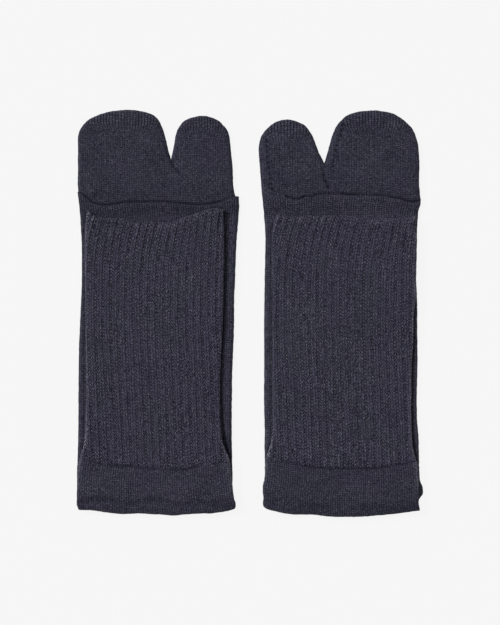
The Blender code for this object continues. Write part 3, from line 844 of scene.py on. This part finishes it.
def build_heel(side):
    """Heel pocket wrapped round the fold, its sides showing the two layers."""
    steps, edge_steps = 190, 12
    kind, share = ring_shares(steps, steps, edge_steps)
    low_left, high_left, high_right, low_right = (curve(HEEL_EDGES[side], k) for k in (1, 2, 3, 4))
    fold_at, line_at = curve(FOLD_LINE[side]), curve(HEEL_LINE[side])
    angles = np.radians([0.4, 12, 24, 36, 48, 60, 70, 80])
    nose = FOLD_RADIUS * (1 - np.cos(angles))
    near_line = HEEL_SEAM - np.array([0.8, 0.4, 0, -0.5])
    rows = np.concatenate([nose, np.arange(FOLD_RADIUS, HEEL_SEAM - 1, 0.6), near_line])[:, None]
    full = np.concatenate([np.sin(angles), np.ones(len(rows) - len(angles))])[:, None]
    middle = 0.5 * LEG_TOP
    low, high = middle - middle * full, middle + (middle - 0.3) * full
    split = mix(middle, FOOT_TOP, full)

    deep = 2.3 * full
    # a side's edge is one turn at the fold, and one turn for each layer away from it
    half, step = edge_steps // 2, np.arange(edge_steps)
    lower = step < half
    turn = np.radians(-90 + 180 * np.where(lower, step / half, step / half - 1))
    rise = 0.5 + 0.5 * np.sin(turn)
    layer_up = np.where(lower, mix(low, split, rise), mix(split, high, rise))
    single = np.radians(-90 + 180 * step / edge_steps)
    single_up = mix(low, high, 0.5 + 0.5 * np.sin(single))
    layering = ramp(rows, 1.0, 9.0)
    edge_up = mix(single_up, layer_up, layering)
    reach = rows / HEEL_SEAM
    rough = OUTSET + ROUGH * lumps(side, 21, FUZZ, FUZZ)(0.0, rows)
    ll, lr = (f(mix(fold_at(x), HEEL_SEAM, reach)) for f, x in ((low_left, -48.0), (low_right, 47.5)))
    hl, hr = (f(mix(fold_at(x), line_at(x), reach)) for f, x in ((high_left, -48.0), (high_right, 47.5)))
    ll, hl, lr, hr = ll - rough, hl - rough, lr + rough, hr + rough

    def side_edge(outer_low, outer_high, sign):
        widest = (np.maximum if sign > 0 else np.minimum)(outer_low, outer_high)
        outer = np.where(step == half, widest, np.where(lower, outer_low, outer_high))
        layered = outer + sign * deep * 0.8 * (1 - np.cos(turn))
        plain = outer + sign * deep * (1 - np.cos(single))
        return mix(plain, layered, layering)

    across = np.zeros((len(rows), len(kind)))
    up = np.zeros_like(across)
    across[:, kind == 1] = side_edge(ll, hl, 1)
    up[:, kind == 1] = edge_up
    # the right edge runs downwards, so its first column is the top one
    across[:, kind == 3] = side_edge(lr, hr, -1)[:, ::-1]
    up[:, kind == 3] = edge_up[:, ::-1]
    across[:, kind == 2] = mix(hl + deep, hr - deep, share[kind == 2])
    up[:, kind == 2] = high
    across[:, kind == 0] = mix(ll + deep, lr - deep, share[kind == 0])
    up[:, kind == 0] = low

    fold = fold_at(across) - OUTSET + ROUGH * lumps(side, 22, FUZZ, 50.0)(across, 0.0)
    along = mix(fold, np.where(up > middle, line_at(across), HEEL_SEAM), reach)
    u = ring_columns(across[-5], up[-5], HEEL_WALE)
    # measured round the fold
    past_nose = rows[len(angles):, 0] + FOLD_RADIUS * (math.pi / 2 - 1)
    v = np.concatenate([FOLD_RADIUS * angles, past_nose])[:, None] / COURSE

    lift = np.where(kind == 2, 1.0, 0.0) * full
    lift = np.maximum(lift, np.where(kind % 2 == 1, ramp(up, split + 1, high), 0) * layering)
    rise, shade = relief(HEEL_FOLDS[side], across, along)
    from_line = line_at(across) - along
    line = curve(HEEL_DARK[side])(across)
    rise = rise + 0.3 * lumps(side, 23, 15.0, 9.0)(across, along)
    rise = rise - (0.3 + 0.6 * line) * bell(from_line, 0.9)
    up = up + lift * rise - np.where(rows > HEEL_SEAM, 0.6 * lift, 0)
    # the heel pocket takes its HEEL_SHADE, with painted shade on the fold's nose, which turns away from the
    # light
    shade = shade * HEEL_SHADE[side] * (1 - 0.15 * (1 - ramp(along - fold, 2, 9)))
    # painted shade in the heel line's groove
    shade *= 1 - LINE_DARK * line * bell(from_line, 1.0)
    # painted highlights along the upper layer's edges
    for sign, edge, gain in ((-1, hl, 1), (1, hr, 2)):
        gain = curve(HEEL_LIGHT[side], gain)(along) * (up > split + 0.5)
        shade *= 1 + gain * bell(sign * (edge - across) - 0.4, 0.8)
    points = place(side, across, along, up)
    piece = grid_mesh(f"{side}_heel_pocket", points, u, v, shade, plain_knit, 0.8)
    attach(piece, "root")
    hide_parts(f"{side}_heel")


# ---- toe pockets


def inside(points, ring):
    x, y = points[:, 0, None], points[:, 1, None]
    a, b = ring, np.roll(ring, -1, axis=0)
    crosses = (a[:, 1] > y) != (b[:, 1] > y)
    climb = np.where(b[:, 1] == a[:, 1], 1e-9, b[:, 1] - a[:, 1])
    where = (b[:, 0] - a[:, 0]) * (y - a[:, 1]) / climb + a[:, 0]
    return (crosses & (x < where)).sum(1) % 2 == 1


def filled(ring, spacing, rings):
    """Triangles that fill a closed outline: its points first, then rows set in from it, then a lattice."""
    ahead, behind = np.roll(ring, -1, axis=0), np.roll(ring, 1, axis=0)
    way = ahead - behind
    way /= np.hypot(*way.T)[:, None]
    area = 0.5 * (ring[:, 0] * ahead[:, 1] - ahead[:, 0] * ring[:, 1]).sum()
    normal = np.column_stack([-way[:, 1], way[:, 0]]) * (1 if area > 0 else -1)
    extra = []
    for depth in rings:
        step = ring + normal * depth
        keep = (distance_to(step, ring, closed=True) > 0.93 * depth) & inside(step, ring)
        extra.append(step[keep])
    low, high = ring.min(0), ring.max(0)
    x, y = np.meshgrid(
        np.arange(low[0], high[0], spacing), np.arange(low[1], high[1], spacing * 0.87), indexing="ij"
    )
    x = x + np.where(np.arange(x.shape[1]) % 2, 0.5 * spacing, 0.0)
    lattice = np.column_stack([x.ravel(), y.ravel()])
    lattice = lattice[inside(lattice, ring)]
    lattice = lattice[distance_to(lattice, ring, closed=True) > rings[-1] + 0.6 * spacing]
    points = np.concatenate([ring, *extra, lattice])
    count = len(ring)
    edges = [(k, (k + 1) % count) for k in range(count)]
    made = delaunay_2d_cdt([Vector(p) for p in points], edges, [], 1, 1e-5)
    where = np.array([tuple(p) for p in made[0]])
    faces = np.array(made[2])
    ends = where[faces]
    turned = np.cross(ends[:, 1] - ends[:, 0], ends[:, 2] - ends[:, 0]) < 0
    faces[turned] = faces[turned][:, ::-1]
    # index of each outline point in the result
    home = np.full(count, -1)
    for k, origins in enumerate(made[3]):
        for origin in origins:
            if origin < count:
                home[origin] = k
    return where, faces, home


TIPS = {   # (across, along) where the stitch columns of each pocket start to fan out, and how far
    "left": ((-18.1, 233.0, 0.27), (26.5, 229.5, 0.20)),
    "right": ((20.6, 233.0, 0.2), (-33.2, 227.0, 0.24)),
}
SPLIT_AT = {"left": 8.0, "right": -11.0}


def toe_knit(side, across, along):
    """Knit coordinates on the toe pockets: stitch columns fan out over each tip."""
    parts = []
    for centre, start, spread in TIPS[side]:
        t = ramp(along, start, start + 10)
        aside = across - centre
        u = (aside / (1 + spread * t) + centre) / TOE_WALE[side]
        v = (along + 0.02 * spread * t * aside ** 2) / COURSE
        parts.append((u, v))
    on_first = (across < SPLIT_AT[side]) == (TIPS[side][0][0] < SPLIT_AT[side])
    return np.where(on_first, parts[0][0], parts[1][0]), np.where(on_first, parts[0][1], parts[1][1])


def pushed_out(line, side):
    """An open line of points moved to its left by the outset, a little unevenly."""
    way = np.gradient(line, axis=0)
    way /= np.hypot(*way.T)[:, None]
    fuzz = lumps(side, 31, FUZZ, FUZZ)(*line.T)
    return line + np.column_stack([-way[:, 1], way[:, 0]]) * (OUTSET + ROUGH * fuzz)[:, None]


def build_toes(side):
    """Both toe pockets of one sock, knitted as one piece down to the linking seam."""
    run, crotch = TOE_OUTLINE[side], CROTCH[side]
    outer, inner = (pushed_out(outline_run(p, 0.62), side) for p in (run[:crotch + 1], run[crotch:]))
    outer[-1] = inner[0] = 0.5 * (outer[-1] + inner[0])
    seam_at = curve(TOE_SEAM[side])
    seam_x = np.linspace(inner[-1, 0], outer[0, 0], 190)
    seam_run = np.column_stack([seam_x, seam_at(seam_x)])
    outer[0] = seam_run[-1]
    inner[-1] = seam_run[0]
    ring = np.concatenate([outer[:-1], inner[:-1], seam_run[:-1]])
    free = np.concatenate([outer, inner[1:]])

    layers = []
    for spacing, rings, top in (
        (0.72, (0.12, 0.4, 0.8, 1.3, 1.9, 2.6), True), (1.5, (0.12, 0.5, 1.1, 1.9), False),
    ):
        where, faces, home = filled(ring, spacing, rings)
        across, along = where.T
        edge = distance_to(where, free)
        from_seam = distance_to(where, seam_run)
        roll = np.sqrt(np.clip(1 - (1 - np.clip(edge / 2.5, 0, 1)) ** 2, 0, 1))
        shade = np.ones(len(where))
        if top:
            line = curve(SEAM_DARK[side])(across)
            crown = 1.1 * (1 - np.exp(-np.clip(edge - 1, 0, None) / 7.0)) * ramp(from_seam, 0, 11)
            up = 0.5 * TOE_THICK * (1 + roll) + crown - 0.3 * bell(from_seam, 4.0)
            wave, small = lumps(side, 32, 12.0, 12.0), lumps(side, 33, 4.0, 4.0)
            rise, shade = relief(TOE_FOLDS[side], across, along)
            rise = rise + 0.35 * wave(across, along) + 0.09 * small(across, along)
            rise = rise - 1.3 * line * bell(from_seam, 0.85)
            # painted shade in the seam's groove and along the rim of the free edge
            shade = shade * (1 - 0.5 * line * bell(from_seam, 0.6)) * (1 - 0.26 * bell(edge, 0.8))
            # each hole is a dimple with painted shade in it
            for path, spacing_along in GORES[side]:
                for spot in outline_run(path, spacing_along):
                    near = bell(np.hypot(across - spot[0], along - spot[1]), 0.9)
                    rise = rise - 1.0 * near
                    shade *= 1 - 0.8 * near
            up = up + roll * rise
        else:
            up = 0.5 * TOE_THICK * (1 - roll) + roll * 0.15 * bell(from_seam, 0.8)
        layers.append((where, up, faces, home, shade, *toe_knit(side, across, along)))

    (w0, up0, f0, home0, s0, u0, v0), (w1, up1, f1, home1, s1, u1, v1) = layers
    # weld the two layers along the free edge
    used = np.ones(len(w1), bool)
    used[home1[:len(free)]] = False
    index = np.cumsum(used) - 1 + len(w0)
    index[home1[:len(free)]] = home0[:len(free)]
    both = np.concatenate([w0, w1[used]])
    points = place(side, both[:, 0], both[:, 1], np.concatenate([up0, up1[used]]))
    faces = np.concatenate([f0, index[f1][:, ::-1]])
    corners = ((u0, v0, f0), (u1, v1, f1[:, ::-1]))
    knit = np.concatenate([np.stack([u[f], v[f]], -1).reshape(-1, 2) for u, v, f in corners])
    furrow = np.zeros(len(both))
    for centre, start, _ in TIPS[side]:
        near_tip = ramp(both[:, 1] + 0.006 * (both[:, 0] - centre) ** 2, start + 2, start + 12)
        own = (both[:, 0] < SPLIT_AT[side]) == (centre < SPLIT_AT[side])
        furrow = np.maximum(furrow, np.where(own, near_tip, 0))
    shade = np.concatenate([s0, s1[used]]) * (1 + 0.15 * furrow)
    furrow = 0.5 + 0.45 * furrow
    piece = make_mesh(f"{side}_toe_pockets", points, faces, knit, shade, plain_knit, furrow)
    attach(piece, "root")
    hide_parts(f"{side}_four_toes", f"{side}_big_toe")


for sock in ("left", "right"):
    build_toes(sock)
    build_foot(sock)
    build_leg(sock)
    build_heel(sock)


# ---- stage, light and camera

FIELD = 0.384            # height of the photograph's frame on the ground, m
CAMERA_HEIGHT = 2.4
SENSOR = 36.0
SUBJECT_HEIGHT = 0.006
HALF_FLOOR = 6.0
FLOOR_GLOW = 0.893       # as pale as the photo's ground
SKY_LIGHT = 0.42
KEY_LIGHT = 2.9
KEY_SPREAD = math.radians(16)
KEY_ELEVATION = math.radians(42)
KEY_BEARING = math.radians(-58)   # from the toes' side, clockwise
WHITE = (1, 1, 1, 1)

floor_mesh = bpy.data.meshes.new("floor")
corners = [(x * HALF_FLOOR, y * HALF_FLOOR, 0) for x, y in ((-1, -1), (1, -1), (1, 1), (-1, 1))]
floor_mesh.from_pydata(corners, [], [(0, 1, 2, 3)])
floor = add_object("floor", floor_mesh)
floor.location.z = -0.0003
# the floor is dark and glows evenly, so that it takes only a faint shadow
floor_material, floor_tree, floor_shader = blank_material("pale_floor")
feed(floor_tree, floor_shader.inputs, {
    "Base Color": (0.03, 0.03, 0.03, 1), "Roughness": 1.0, "Specular IOR Level": 0.0,
    "Emission Color": WHITE, "Emission Strength": FLOOR_GLOW,
})
floor_mesh.materials.append(floor_material)

world = bpy.data.worlds.new("studio")
world.use_nodes = True
scene.world = world
sky = world.node_tree.nodes["Background"]
feed(world.node_tree, sky.inputs, {"Color": WHITE, "Strength": SKY_LIGHT})

sun = bpy.data.lights.new("key", "SUN")
sun.energy = KEY_LIGHT
sun.angle = KEY_SPREAD
aside, height = math.cos(KEY_ELEVATION), math.sin(KEY_ELEVATION)
towards = Vector((aside * math.sin(KEY_BEARING), aside * math.cos(KEY_BEARING), height))
add_object("key", sun).rotation_euler = towards.to_track_quat("Z", "Y").to_euler()

camera_data = bpy.data.cameras.new("camera")
camera_data.lens = SENSOR * (CAMERA_HEIGHT - SUBJECT_HEIGHT) / FIELD
camera_data.sensor_width = SENSOR
camera_data.clip_end = 50.0
camera = add_object("camera", camera_data)
camera.location = (0.0003, 0.0004, CAMERA_HEIGHT)
bpy.context.scene.camera = camera

scene.view_settings.view_transform = "Standard"
